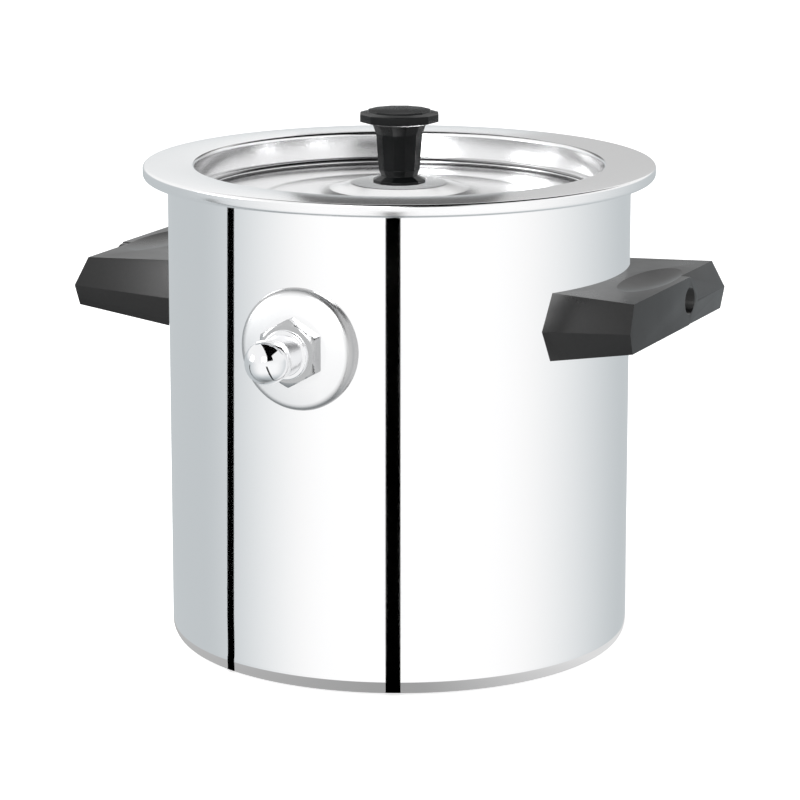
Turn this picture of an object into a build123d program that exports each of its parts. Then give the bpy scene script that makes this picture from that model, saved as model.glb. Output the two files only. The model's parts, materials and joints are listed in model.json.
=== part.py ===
"""Two-litre steam-jacketed milk boiler: a pot hung inside a water jacket, with a lift-out lid.

Millimetres, +Z up.  The origin is the centre of the flat underside, on the axis of the vessels.
The whistle and its filler spout face -Y, and the two handles lie along +X and -X.
"""
import os
from math import acos, asin, cos, degrees, radians, sqrt, tan

from build123d import *

# ---------------------------------------------------------------- vessels
sheet = 0.8  # stainless sheet of both drawn vessels
shell_radius = 80.0  # outside of the jacket
shell_corner = 6.8  # outside radius between the wall and the flat base
rim_height = 168.5  # flat top of the rim above the table
rim_overhang = 8.55  # hem of the seam beyond the shell's wall
jacket_gap = 10.9  # steam space between the shell's wall and the pot's
well_depth = 12.1  # rim top down to the ledge that carries the lid
well_edge = 1.3  # rounding from the flat rim into the recess
ledge_width = 3.1  # ledge that carries the lid, from the pot's wall to the recess wall
ledge_corner = 0.9  # rounding at the foot of the recess
ledge_nose = 0.5  # rounding where the ledge drops into the pot
pot_floor = 13.0  # inside floor of the pot above the table
pot_corner = 12.0  # inside radius between the pot's floor and wall
hem_height = 4.5  # upright side of the rim, from its flat top down
hem_round = 1.0  # rounding from the flat top into the side
hem_foot_round = 1.6  # rounding where the side turns in again
hem_return = 2.7  # how far its foot turns in under the shell's flange
seam_gap = 0.3  # play between the turned-down flange and the hem that locks it
flange_round = 0.4  # inside rounding where the shell's flange turns down
neck_round = 2.5  # cove where the shell's wall turns out into its flange

# ---------------------------------------------------------------- lid
lid_sheet = 0.6
lid_clearance = 0.55  # between the lid's bead and the recess wall
lid_bead = 1.45  # outside radius of the curled edge
lid_bead_sweep = 230.0  # degrees of curl from the flat annulus
lid_slope_radius = 47.0  # where the gentle cone leaves the flat annulus
lid_boss_foot = 24.0  # where the cone meets the steeper boss
lid_boss_foot_rise = 2.7  # height of that place above the annulus
lid_boss_radius = 16.5  # flat seat of the knob
lid_boss_rise = 4.6  # height of the seat above the annulus
lid_blend = 5.0  # rounding of the pressed steps

# ---------------------------------------------------------------- knob
knob_sides = 12
knob_turn = 9.5  # degrees that the flats are turned about the axis
knob_base_radius = 9.0  # each radius is measured to the flats
knob_waist_radius = 6.2
knob_stem_foot_radius = 7.1
knob_stem_top_radius = 8.0
knob_neck_radius = 9.2
knob_flange_radius = 13.5
knob_top_radius = 10.7
knob_height = 25.1
knob_lip = 1.0  # thickness of the base's edge
knob_waist_height = 2.5  # heights above the lid's seat
knob_stem_foot_height = 4.6
knob_stem_top_height = 17.0
knob_neck_height = 20.4
knob_flange_height = 21.4
knob_flange_lip = 2.6  # thickness of the flange's edge
knob_top_lip = 0.5  # upright edge of the raised top face
insert_radius = 3.4
insert_length = 14.0
insert_collar_radius = 4.4
insert_collar_width = 2.0
knob_screw_radius = 2.0
knob_screw_length = 11.0
knob_screw_head_radius = 4.0
knob_screw_head_height = 2.4
knob_washer_radius = 6.5
knob_washer_thickness = 0.8
slot_width = 1.2  # driver slots of the screws
slot_depth = 1.1

# ---------------------------------------------------------------- filler spout and whistle
spout_height = 117.8  # axis of the spout above the table
spout_bore = 3.5
spout_radius = 5.0
spout_nose_radius = 4.5
spout_nose_length = 8.3  # plain end that the whistle pushes over
spout_flange_radius = 10.0
spout_flange_thickness = 1.4
gasket_thickness = 2.0  # on the spout's axis, between the flange and the shell
packing_radius = 8.8
escutcheon_radius = 20.6
escutcheon_sheet = 1.0
escutcheon_rise = 4.0  # crest beyond the shell's wall
escutcheon_dome = 75.0  # radius of the domed face, centred on the spout's axis
escutcheon_land = 11.8  # radius of the flat seat for the nut
escutcheon_round = 2.6
nut_across_flats = 20.0
nut_thickness = 5.0
nut_relief = 0.3  # turned front face inside the flats
ring_setback = 3.5  # groove behind the start of the plain nose
ring_width = 1.8
ring_depth = 0.8
whistle_collar_radius = 8.3
whistle_collar_width = 1.8
whistle_barrel_radius = 6.8
whistle_barrel_length = 9.3  # collar included
whistle_neck_radius = 4.9
whistle_neck_length = 1.8
whistle_throat = 3.0
whistle_nose_radius = 7.4
whistle_nose_setback = 4.6  # centre of the ball beyond the barrel's end
whistle_nose_wall = 2.7
whistle_plate_thickness = 0.5
whistle_plate_hole = 1.0
whistle_chamber = 1.8  # space between the two plates
whistle_spacer_wall = 0.8
whistle_vent = 1.1  # radius of the steam outlet on the underside
whistle_vent_place = 1.3  # its centre beyond the front plate

# ---------------------------------------------------------------- handles
handle_projection = 23.5  # outer face beyond the shell's wall
handle_root_depth = 16.0  # section inside the shell that the root is cut back from
handle_top = 134.5
handle_root_crease = 121.3
handle_root_bottom = 110.0
handle_root_half = 38.3  # half width of the crease at the root section
handle_crease = 125.0  # at the outer face
handle_bottom = 117.9
handle_half = 45.7
handle_draft = 0.34  # the ends lean in this much for each millimetre above or below the crease
handle_face_draft = 0.36  # the same on the outer face above the crease, beyond the land
handle_face_return = 0.08  # and below the crease
handle_land_radius = 7.8  # flat land round the screw
handle_screw_offset = 10.5  # screw from the handle's centre line
handle_screw_height = 126.3
handle_web = 6.5  # moulding between the bracket and the floor of the screw recess
handle_recess_radius = 4.7
thumb_length = 46.0
thumb_width = 16.0
thumb_depth = 1.9
thumb_place = 13.0  # its middle beyond the shell's wall
bracket_width = 26.0
bracket_height = 10.0
bracket_sheet = 1.6
bracket_projection = 6.0  # outer face beyond the shell's wall
handle_screw_radius = 2.5
handle_screw_head_radius = 4.2
handle_screw_head_height = 2.6
handle_washer_radius = 4.4
handle_washer_thickness = 1.0
handle_nut_across_flats = 8.0
handle_nut_thickness = 3.2
handle_screw_tip = 1.2  # thread that stands out behind the nut

# ---------------------------------------------------------------- fits
moulding_gap = 0.15  # moulded handle to the steel that it covers
thread_gap = 0.05  # radial play of a screw in its nut or insert
hole_gap = 0.2  # radial play of a shank in a plain hole
slide_gap = 0.1  # radial play of the whistle on its spout
whistle_play = 0.3  # whistle's collar to the nut, and its throat to the spout's end

# ---------------------------------------------------------------- places worked out from these
shell_inside = shell_radius - sheet
rim_radius = shell_radius + rim_overhang  # outside of the hem
pot_radius = shell_inside - jacket_gap - sheet  # inside of the milk pot
well_radius = pot_radius + ledge_width  # inside of the recess that takes the lid
flange_underside = rim_height - sheet  # underside of the pot's flange, where the shell's flange lies
hem_foot = rim_height - hem_height
flange_inside = rim_radius - sheet - seam_gap - sheet  # where the shell's flange turns down
flange_foot = hem_foot + sheet + seam_gap
ledge_height = rim_height - well_depth
annulus_top = ledge_height + lid_sheet
seat_height = annulus_top + lid_boss_rise
bead_centre = well_radius - lid_clearance - lid_bead
spout_flange_face = shell_inside - gasket_thickness
escutcheon_crest = shell_radius + escutcheon_rise
dome_centre = escutcheon_crest - sqrt(escutcheon_dome**2 - escutcheon_land**2)
escutcheon_edge = dome_centre + sqrt(escutcheon_dome**2 - escutcheon_radius**2)
escutcheon_seat = sqrt(shell_radius**2 - escutcheon_radius**2)  # shell's wall beside the escutcheon
whistle_start = escutcheon_crest + nut_thickness + whistle_play
spout_end = whistle_start + spout_nose_length
ring_start = whistle_start + ring_setback
whistle_barrel_end = whistle_start + whistle_barrel_length
whistle_neck_end = whistle_barrel_end + whistle_neck_length
whistle_nose_centre = whistle_barrel_end + whistle_nose_setback
# The ball starts where it meets a straight tail of the barrel's own radius.
whistle_ball_start = sqrt(whistle_nose_radius**2 - whistle_barrel_radius**2)
handle_start = shell_radius - handle_root_depth
handle_reach = shell_radius + handle_projection
bracket_face = shell_radius + bracket_projection
thumb_reach = shell_radius + thumb_place
spout_axis = Axis((0, 0, spout_height), (0, -1, 0))
spout_profile = Plane(origin=(0, 0, spout_height), x_dir=(0, -1, 0), z_dir=(-1, 0, 0))


def across(distance):
    """Plane square to the spout, at this distance from the vessels' axis."""
    return Plane(origin=(0, -distance, spout_height), x_dir=(1, 0, 0), z_dir=(0, -1, 0))


def outward(side, distance):
    """Plane square to a handle: its x runs round the vessel and its y is up."""
    return Plane(origin=(side * distance, 0, 0), x_dir=(0, side, 0), z_dir=(side, 0, 0))


def finish(part, name):
    """Label a finished piece and write it to its own file."""
    part.label = name
    export_step(part, f"parts/{name}.step")


os.makedirs("parts", exist_ok=True)

# ================================================================ vessels
# Outer shell: a drawn cup whose wall turns out at the top into a flange with its edge turned down.
with BuildPart() as outer_shell:
    with BuildSketch(Plane.XZ):
        with BuildLine():
            FilletPolyline(
                (0, 0),
                (shell_radius, 0),
                (shell_radius, flange_underside - sheet),
                (flange_inside, flange_underside - sheet),
                (flange_inside, flange_foot),
                radius=[shell_corner, neck_round, flange_round],
            )
            offset(amount=sheet, side=Side.LEFT)
        make_face()
    revolve(axis=Axis.Z)
    with BuildSketch(across(shell_radius - shell_corner)):
        Circle(spout_radius + hole_gap)
    extrude(amount=2 * shell_corner, mode=Mode.SUBTRACT)
finish(outer_shell.part, "outer_shell")

# Milk pot: pot, lid ledge, recess and flat rim in one sheet, hemmed round the shell's flange.
with BuildPart() as inner_vessel:
    with BuildSketch(Plane.XZ):
        with BuildLine():
            FilletPolyline(
                (0, pot_floor),
                (pot_radius, pot_floor),
                (pot_radius, ledge_height),
                (well_radius, ledge_height),
                (well_radius, rim_height),
                (rim_radius, rim_height),
                (rim_radius, hem_foot),
                (rim_radius - hem_return, hem_foot),
                radius=[pot_corner, ledge_nose, ledge_corner, well_edge, hem_round, hem_foot_round],
            )
            offset(amount=sheet, side=Side.RIGHT)
        make_face()
    revolve(axis=Axis.Z)
finish(inner_vessel.part, "inner_vessel")

# ================================================================ lid and knob
# Lid: a flat annulus on the ledge, a gentle cone, a flat boss for the knob and a curled edge.
with BuildPart() as lid:
    with BuildSketch(Plane.XZ):
        with BuildLine():
            panel = FilletPolyline(
                (0, seat_height),
                (lid_boss_radius, seat_height),
                (lid_boss_foot, annulus_top + lid_boss_foot_rise),
                (lid_slope_radius, annulus_top),
                (bead_centre - lid_bead, annulus_top),
                radius=lid_blend,
            )
            Line(panel @ 1, (bead_centre, annulus_top))
            CenterArc(
                (bead_centre, ledge_height + lid_bead),
                lid_bead - lid_sheet,
                -90,
                lid_bead_sweep,
            )
            offset(amount=lid_sheet, side=Side.RIGHT)
        make_face()
    revolve(axis=Axis.Z)
    Hole(knob_screw_radius + hole_gap)
finish(lid.part, "lid")

# Knob: moulded with flat sides all the way up, a flared foot, a waist and a flanged flat top.
knob_sections = [
    (0, knob_base_radius),
    (knob_lip, knob_base_radius),
    (knob_waist_height, knob_waist_radius),
    (knob_stem_foot_height, knob_stem_foot_radius),
    (knob_stem_top_height, knob_stem_top_radius),
    (knob_neck_height, knob_neck_radius),
    (knob_flange_height, knob_flange_radius),
    (knob_flange_height + knob_flange_lip, knob_flange_radius),
    (knob_height - knob_top_lip, knob_top_radius),
    (knob_height, knob_top_radius),
]
with BuildPart() as knob:
    for height, radius in knob_sections:
        with BuildSketch(Plane.XY.offset(seat_height + height)):
            RegularPolygon(radius, knob_sides, major_radius=False, rotation=knob_turn)
    loft(ruled=True)
    with BuildSketch(Plane.XY.offset(seat_height)):
        Circle(insert_radius)
    extrude(amount=insert_length, mode=Mode.SUBTRACT)
    with BuildSketch(Plane.XY.offset(seat_height + insert_length - insert_collar_width)):
        Circle(insert_collar_radius)
    extrude(amount=insert_collar_width, mode=Mode.SUBTRACT)
finish(knob.part, "knob")

# Threaded insert moulded into the knob; its collar keeps it from pulling out.
with BuildPart() as knob_insert:
    with BuildSketch(Plane.XY.offset(seat_height)):
        Circle(insert_radius)
    extrude(amount=insert_length)
    with BuildSketch(Plane.XY.offset(seat_height + insert_length - insert_collar_width)):
        Circle(insert_collar_radius)
    extrude(amount=insert_collar_width)
    with BuildSketch(Plane.XY.offset(seat_height)):
        Circle(knob_screw_radius + thread_gap)
    extrude(amount=knob_screw_length, mode=Mode.SUBTRACT)
finish(knob_insert.part, "knob_insert")

# Washer and slotted screw under the lid.
lid_underside = seat_height - lid_sheet
with BuildPart() as knob_washer:
    with BuildSketch(Plane.XY.offset(lid_underside)):
        Circle(knob_washer_radius)
        Circle(knob_screw_radius + hole_gap, mode=Mode.SUBTRACT)
    extrude(amount=-knob_washer_thickness)
finish(knob_washer.part, "knob_washer")

knob_head_face = lid_underside - knob_washer_thickness
with BuildPart() as knob_screw:
    with BuildSketch(Plane.XY.offset(knob_head_face)):
        Circle(knob_screw_head_radius)
    extrude(amount=-knob_screw_head_height)
    fillet(knob_screw.edges().sort_by(Axis.Z)[0], knob_screw_head_height / 2)
    with BuildSketch(Plane.XY.offset(knob_head_face)):
        Circle(knob_screw_radius)
    extrude(amount=seat_height - knob_head_face + knob_screw_length - 2 * hole_gap)
    with BuildSketch(Plane.XY.offset(knob_head_face - knob_screw_head_height)):
        Rectangle(2 * knob_screw_head_radius, slot_width)
    extrude(amount=slot_depth, mode=Mode.SUBTRACT)
finish(knob_screw.part, "knob_screw")

# ================================================================ filler spout
# Spout: a flanged tube put in from inside the jacket, threaded for the nut, plain at its nose.
with BuildPart() as filler_spout:
    with BuildSketch(spout_profile):
        with BuildLine():
            Polyline(
                (spout_flange_face - spout_flange_thickness, spout_bore),
                (spout_flange_face - spout_flange_thickness, spout_flange_radius),
                (spout_flange_face, spout_flange_radius),
                (spout_flange_face, spout_radius),
                (whistle_start, spout_radius),
                (whistle_start, spout_nose_radius),
                (ring_start, spout_nose_radius),
                (ring_start, spout_nose_radius - ring_depth / 2),
                (ring_start + ring_width, spout_nose_radius - ring_depth / 2),
                (ring_start + ring_width, spout_nose_radius),
                (spout_end, spout_nose_radius),
                (spout_end, spout_bore),
                close=True,
            )
        make_face()
    revolve(axis=spout_axis)
finish(filler_spout.part, "filler_spout")

# Gasket between the spout's flange and the inside of the shell, shaped to the round wall.
with BuildPart() as spout_gasket:
    with BuildSketch(across(spout_flange_face)):
        Circle(spout_flange_radius)
        Circle(spout_radius + thread_gap, mode=Mode.SUBTRACT)
    extrude(amount=shell_radius - spout_flange_face)
    Cylinder(shell_inside, rim_height, align=(Align.CENTER, Align.CENTER, Align.MIN), mode=Mode.INTERSECT)
finish(spout_gasket.part, "spout_gasket")

# Packing ring between the outside of the shell and the escutcheon.
escutcheon_inside = escutcheon_crest - escutcheon_sheet
with BuildPart() as spout_packing:
    with BuildSketch(across(escutcheon_inside)):
        Circle(packing_radius)
        Circle(spout_radius + thread_gap, mode=Mode.SUBTRACT)
    extrude(amount=-(escutcheon_inside - shell_inside))
    Cylinder(shell_radius, rim_height, align=(Align.CENTER, Align.CENTER, Align.MIN), mode=Mode.SUBTRACT)
finish(spout_packing.part, "spout_packing")

# Escutcheon: a hollow domed disc whose edge is cut to sit on the round shell all the way about.
with BuildPart() as escutcheon:
    with BuildSketch(spout_profile):
        with BuildLine():
            land = Line((escutcheon_crest, spout_radius + hole_gap), (escutcheon_crest, escutcheon_land))
            edge = Line(
                (escutcheon_edge, escutcheon_radius),
                (escutcheon_seat - 2 * escutcheon_sheet, escutcheon_radius),
            )
            CenterArc(
                (dome_centre, 0),
                escutcheon_dome,
                degrees(asin(escutcheon_radius / escutcheon_dome)),
                degrees(asin(escutcheon_land / escutcheon_dome) - asin(escutcheon_radius / escutcheon_dome)),
            )
            fillet(vertices().sort_by_distance(edge @ 0)[0], escutcheon_round)
            offset(amount=escutcheon_sheet, side=Side.LEFT)
        make_face()
    revolve(axis=spout_axis)
    Cylinder(shell_radius, rim_height, align=(Align.CENTER, Align.CENTER, Align.MIN), mode=Mode.SUBTRACT)
finish(escutcheon.part, "escutcheon")

# Lock nut: a hexagon with its corners turned off in front.
with BuildPart() as lock_nut:
    with BuildSketch(across(escutcheon_crest)):
        RegularPolygon(nut_across_flats / 2, 6, major_radius=False, rotation=30)
    extrude(amount=nut_thickness)
    with BuildSketch(spout_profile):
        with BuildLine():
            corner = nut_across_flats / 2 / cos(radians(30))
            turned = nut_across_flats / 2 - nut_relief
            Polyline(
                (escutcheon_crest, 0),
                (escutcheon_crest, corner),
                (escutcheon_crest + nut_thickness - (corner - turned) * tan(radians(30)), corner),
                (escutcheon_crest + nut_thickness, turned),
                (escutcheon_crest + nut_thickness, 0),
                close=True,
            )
        make_face()
    revolve(axis=spout_axis, mode=Mode.INTERSECT)
    with BuildSketch(across(escutcheon_crest)):
        Circle(spout_radius + thread_gap)
    extrude(amount=nut_thickness, mode=Mode.SUBTRACT)
finish(lock_nut.part, "lock_nut")

# Sealing ring in the groove of the spout's nose.
with BuildPart() as spout_ring:
    with BuildSketch(across(ring_start + thread_gap)):
        Circle(spout_nose_radius)
        Circle(spout_nose_radius - ring_depth / 2 + thread_gap, mode=Mode.SUBTRACT)
    extrude(amount=ring_width - 2 * thread_gap)
finish(spout_ring.part, "spout_ring")

# ================================================================ whistle
# Body: a collar and barrel that push over the spout's nose, and a neck that carries the cap.
with BuildPart() as whistle_body:
    with BuildSketch(spout_profile):
        with BuildLine():
            Polyline(
                (whistle_start, spout_nose_radius + slide_gap),
                (whistle_start, whistle_collar_radius),
                (whistle_start + whistle_collar_width, whistle_collar_radius),
                (whistle_start + whistle_collar_width, whistle_barrel_radius),
                (whistle_barrel_end, whistle_barrel_radius),
                (whistle_barrel_end, whistle_neck_radius),
                (whistle_neck_end, whistle_neck_radius),
                (whistle_neck_end, whistle_throat),
                (spout_end + whistle_play, whistle_throat),
                (spout_end + whistle_play, spout_nose_radius + slide_gap),
                close=True,
            )
        make_face()
    revolve(axis=spout_axis)
finish(whistle_body.part, "whistle_body")

# Cap: a hollow ball nose pressed on the neck, with a steam outlet on its underside.
cap_bore = whistle_neck_radius + thread_gap
cap_shoulder = whistle_neck_end + 2 * whistle_plate_thickness + whistle_chamber
cavity_radius = whistle_nose_radius - whistle_nose_wall
cavity_depth = cap_shoulder - whistle_nose_centre
with BuildPart() as whistle_cap:
    with BuildSketch(spout_profile):
        with BuildLine():
            Polyline(
                (whistle_nose_centre - whistle_ball_start, whistle_barrel_radius),
                (whistle_barrel_end, whistle_barrel_radius),
                (whistle_barrel_end, cap_bore),
                (cap_shoulder, cap_bore),
                (cap_shoulder, sqrt(cavity_radius**2 - cavity_depth**2)),
            )
            CenterArc((whistle_nose_centre, 0), cavity_radius, 0, degrees(acos(cavity_depth / cavity_radius)))
            Line((whistle_nose_centre + cavity_radius, 0), (whistle_nose_centre + whistle_nose_radius, 0))
            CenterArc(
                (whistle_nose_centre, 0),
                whistle_nose_radius,
                0,
                degrees(acos(-whistle_ball_start / whistle_nose_radius)),
            )
        make_face()
    revolve(axis=spout_axis)
    with BuildSketch(Plane(origin=(0, -cap_shoulder - whistle_vent_place, spout_height))):
        Circle(whistle_vent)
    extrude(amount=-whistle_nose_radius, mode=Mode.SUBTRACT)
finish(whistle_cap.part, "whistle_cap")

# Two thin plates with a hole in each, held apart by a ring: steam blown through them sounds.
front_plate_back = cap_shoulder - whistle_plate_thickness
for name, place in (
    ("whistle_rear_plate", whistle_neck_end),
    ("whistle_front_plate", front_plate_back),
):
    with BuildPart() as plate:
        with BuildSketch(across(place)):
            Circle(whistle_neck_radius)
            Circle(whistle_plate_hole, mode=Mode.SUBTRACT)
        extrude(amount=whistle_plate_thickness)
    finish(plate.part, name)

with BuildPart() as whistle_spacer:
    with BuildSketch(across(whistle_neck_end + whistle_plate_thickness)):
        Circle(whistle_neck_radius)
        Circle(whistle_neck_radius - whistle_spacer_wall, mode=Mode.SUBTRACT)
    extrude(amount=whistle_chamber)
finish(whistle_spacer.part, "whistle_spacer")

# ================================================================ handles
# Both handles are one moulding, turned half round the vessel, so every piece is made for each side.
recess_floor = bracket_face + handle_web
screw_seat = recess_floor + handle_washer_thickness
nut_back = bracket_face - bracket_sheet - handle_nut_thickness
thumb_across = (thumb_width**2 / 4 + thumb_depth**2) / (2 * thumb_depth)
thumb_along = (thumb_length**2 / 4 + thumb_depth**2) / (2 * thumb_depth)
thumb_axis = Axis((0, 0, handle_top - thumb_depth + thumb_along), (1, 0, 0))


def handle_section(half, top, crease, bottom):
    """Six-sided section of the grip: flat above and below, creased along both ends."""
    top_half = half - handle_draft * (top - crease)
    bottom_half = half - handle_draft * (crease - bottom)
    Polyline(
        (top_half, top),
        (half, crease),
        (bottom_half, bottom),
        (-bottom_half, bottom),
        (-half, crease),
        (-top_half, top),
        close=True,
    )


for side_name, side in (("right", 1), ("left", -1)):
    screw_place = (handle_screw_offset, handle_screw_height)

    # What is cut from the outer face beyond the land, so that it is creased like the ends.
    with BuildPart() as face_cut:
        profile = Plane(origin=(0, side * handle_screw_offset, 0), x_dir=(side, 0, 0), z_dir=(0, -side, 0))
        with BuildSketch(profile):
            with BuildLine():
                tall = handle_top - handle_bottom
                Polyline(
                    (handle_reach, handle_crease),
                    (handle_reach - handle_face_draft * tall, handle_crease + tall),
                    (handle_reach + tall, handle_crease + tall),
                    (handle_reach + tall, handle_crease - tall),
                    (handle_reach - handle_face_return * tall, handle_crease - tall),
                    close=True,
                )
            make_face()
        extrude(amount=-2 * handle_half)
        with BuildSketch(outward(side, handle_start)):
            with Locations(screw_place):
                Circle(handle_land_radius)
        extrude(amount=handle_reach, mode=Mode.SUBTRACT)

    with BuildPart() as handle:
        with BuildSketch(outward(side, handle_start)):
            with BuildLine():
                handle_section(handle_root_half, handle_top, handle_root_crease, handle_root_bottom)
            make_face()
        with BuildSketch(outward(side, handle_reach)):
            with BuildLine():
                handle_section(handle_half, handle_top, handle_crease, handle_bottom)
            make_face()
        loft(ruled=True)
        add(face_cut.part, mode=Mode.SUBTRACT)
        # Thumb recess on top, an oval dish with one curve along it and another across.
        with BuildSketch(Plane.XZ):
            with Locations((side * thumb_reach, handle_top - thumb_depth + thumb_across)):
                Circle(thumb_across)
        revolve(axis=thumb_axis, mode=Mode.SUBTRACT)
        # Screw recess and hole, and the pocket that covers the bracket.
        with BuildSketch(outward(side, handle_reach)):
            with Locations(screw_place):
                Circle(handle_recess_radius)
        extrude(amount=recess_floor - handle_reach, mode=Mode.SUBTRACT)
        with BuildSketch(outward(side, handle_start)):
            with Locations(screw_place):
                Circle(handle_screw_radius + hole_gap)
        extrude(amount=handle_reach - handle_start, mode=Mode.SUBTRACT)
        with BuildSketch(outward(side, handle_start)):
            with Locations(screw_place):
                Rectangle(bracket_width + 2 * moulding_gap, bracket_height + 2 * moulding_gap)
        extrude(amount=bracket_face + moulding_gap - handle_start, mode=Mode.SUBTRACT)
        Cylinder(
            shell_radius + moulding_gap,
            rim_height,
            align=(Align.CENTER, Align.CENTER, Align.MIN),
            mode=Mode.SUBTRACT,
        )
    finish(handle.part, f"handle_{side_name}")

    # Bracket: a channel whose two legs are welded to the shell.
    with BuildPart() as bracket:
        with BuildSketch(outward(side, handle_start)):
            with Locations(screw_place):
                Rectangle(bracket_width, bracket_height)
        extrude(amount=bracket_face - handle_start)
        with BuildSketch(outward(side, handle_start)):
            with Locations(screw_place):
                Rectangle(bracket_width - 2 * bracket_sheet, bracket_height)
        extrude(amount=bracket_face - bracket_sheet - handle_start, mode=Mode.SUBTRACT)
        with BuildSketch(outward(side, bracket_face)):
            with Locations(screw_place):
                Circle(handle_screw_radius + hole_gap)
        extrude(amount=-bracket_sheet, mode=Mode.SUBTRACT)
        Cylinder(
            shell_radius,
            rim_height,
            align=(Align.CENTER, Align.CENTER, Align.MIN),
            mode=Mode.SUBTRACT,
        )
    finish(bracket.part, f"handle_bracket_{side_name}")

    # Nut welded behind the bracket's face.
    with BuildPart() as nut:
        with BuildSketch(outward(side, nut_back)):
            with Locations(screw_place):
                RegularPolygon(handle_nut_across_flats / 2, 6, major_radius=False)
                Circle(handle_screw_radius + thread_gap, mode=Mode.SUBTRACT)
        extrude(amount=handle_nut_thickness)
    finish(nut.part, f"handle_nut_{side_name}")

    with BuildPart() as washer:
        with BuildSketch(outward(side, recess_floor)):
            with Locations(screw_place):
                Circle(handle_washer_radius)
                Circle(handle_screw_radius + hole_gap, mode=Mode.SUBTRACT)
        extrude(amount=handle_washer_thickness)
    finish(washer.part, f"handle_washer_{side_name}")

    # Slotted cheese-head screw.
    with BuildPart() as screw:
        with BuildSketch(outward(side, nut_back - handle_screw_tip)):
            with Locations(screw_place):
                Circle(handle_screw_radius)
        extrude(amount=screw_seat - nut_back + handle_screw_tip)
        with BuildSketch(outward(side, screw_seat)):
            with Locations(screw_place):
                Circle(handle_screw_head_radius)
        extrude(amount=handle_screw_head_height)
        with BuildSketch(outward(side, screw_seat + handle_screw_head_height)):
            with Locations(screw_place):
                Rectangle(2 * handle_screw_head_radius, slot_width)
        extrude(amount=-slot_depth, mode=Mode.SUBTRACT)
    finish(screw.part, f"handle_screw_{side_name}")
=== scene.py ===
"""Looks of the steam-jacketed milk boiler: fine forms, finishes, studio and camera.

Forms are written in millimetres, as on the drawing, and turned into metres when a mesh is made.
The whistle faces -Y, the handles lie along +X and -X, and the origin is under the middle of the base.
"""
import json
from math import acos, asin, atan2, cos, degrees, pi, radians, sin, sqrt, tan

import bmesh
import bpy
from mathutils import Matrix, Vector


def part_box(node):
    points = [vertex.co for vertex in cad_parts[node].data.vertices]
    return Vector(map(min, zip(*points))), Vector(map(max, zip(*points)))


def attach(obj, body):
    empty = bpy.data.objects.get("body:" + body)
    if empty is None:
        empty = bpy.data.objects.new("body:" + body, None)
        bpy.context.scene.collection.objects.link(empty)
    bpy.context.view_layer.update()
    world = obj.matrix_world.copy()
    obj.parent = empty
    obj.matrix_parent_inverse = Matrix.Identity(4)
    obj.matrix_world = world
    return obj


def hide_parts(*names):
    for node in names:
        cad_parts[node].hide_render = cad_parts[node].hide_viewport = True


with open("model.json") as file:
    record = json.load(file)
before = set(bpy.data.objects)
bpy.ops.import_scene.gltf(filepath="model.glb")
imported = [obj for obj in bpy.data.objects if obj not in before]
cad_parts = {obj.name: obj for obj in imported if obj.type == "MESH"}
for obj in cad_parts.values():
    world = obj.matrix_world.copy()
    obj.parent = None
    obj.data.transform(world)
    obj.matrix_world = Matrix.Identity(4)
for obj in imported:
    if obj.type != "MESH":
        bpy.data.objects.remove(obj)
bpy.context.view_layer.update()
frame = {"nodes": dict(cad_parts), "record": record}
MM = 0.001


def cad_box_mm(node):
    """Lowest and highest corner of a CAD node, in millimetres."""
    low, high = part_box(node)
    return Vector(low) / MM, Vector(high) / MM


# ---------------------------------------------------------------- sizes read from the frame
vessel_high = cad_box_mm("inner_vessel")[1]
rim_radius = vessel_high.x
rim_height = vessel_high.z
lid_low, lid_high = cad_box_mm("lid")
lid_edge_radius = lid_high.x
ledge_height = lid_low.z
knob_low, knob_high = cad_box_mm("knob")
seat_height = knob_low.z
knob_height = knob_high.z - knob_low.z
escutcheon_low, escutcheon_high = cad_box_mm("escutcheon")
escutcheon_radius = escutcheon_high.x
escutcheon_crest = -escutcheon_low.y
spout_height = (escutcheon_low.z + escutcheon_high.z) / 2
nut_low, nut_high = cad_box_mm("lock_nut")
nut_front = -nut_low.y
nut_half_flats = nut_high.x
body_low, body_high = cad_box_mm("whistle_body")
whistle_back = -body_high.y
whistle_neck_end = -body_low.y
whistle_collar_radius = body_high.x
cap_low, cap_high = cad_box_mm("whistle_cap")
nose_tip = -cap_low.y
nose_radius = cap_high.x
cap_back = -cap_high.y

# ---------------------------------------------------------------- sizes that a box can't give
sheet = 0.8  # stainless sheet of both vessels
shell_radius = 80.0
shell_corner = 6.8
neck_round = 2.5
hem_height = 4.5
hem_round = 1.0
hem_foot_round = 1.6
hem_return = 2.7
seam_gap = 0.3
flange_round = 0.4
well_radius = 70.6
well_edge = 1.3  # round from the rim down into the recess
ledge_corner = 0.9
ledge_nose = 0.5
pot_radius = 67.5
pot_floor = 13.0
pot_corner = 12.0
lid_sheet = 0.6
lid_bead = 1.45
lid_bead_sweep = 230.0
lid_slope_radius = 47.0
lid_boss_foot = 24.0
lid_boss_foot_rise = 2.7
lid_boss_radius = 16.5
lid_blend = 5.0
lid_hole = 2.2
knob_sides = 12
knob_turn = radians(9.5)
spout_hole = 5.2  # radius of the hole for the filler spout in the shell and the escutcheon
nut_bore = 5.05
escutcheon_wall = 1.0
escutcheon_dome = 75.0
escutcheon_land = 11.8
escutcheon_round = 2.6
whistle_collar = 1.8
whistle_barrel = 6.8  # radius of the body's barrel and of the cap's tail
whistle_bore = 4.6
whistle_bore_depth = 8.6
whistle_throat = 3.0
whistle_neck = 4.9
whistle_plate = 0.5
whistle_spacer = 1.8
whistle_outlet = 1.1
whistle_outlet_place = 1.3
whistle_joint = 0.08  # broken edge where the body and the cap meet
whistle_sides = 128
nose_wall = 2.7
turned_sides = 256  # facets round the vessels and the lid


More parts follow.
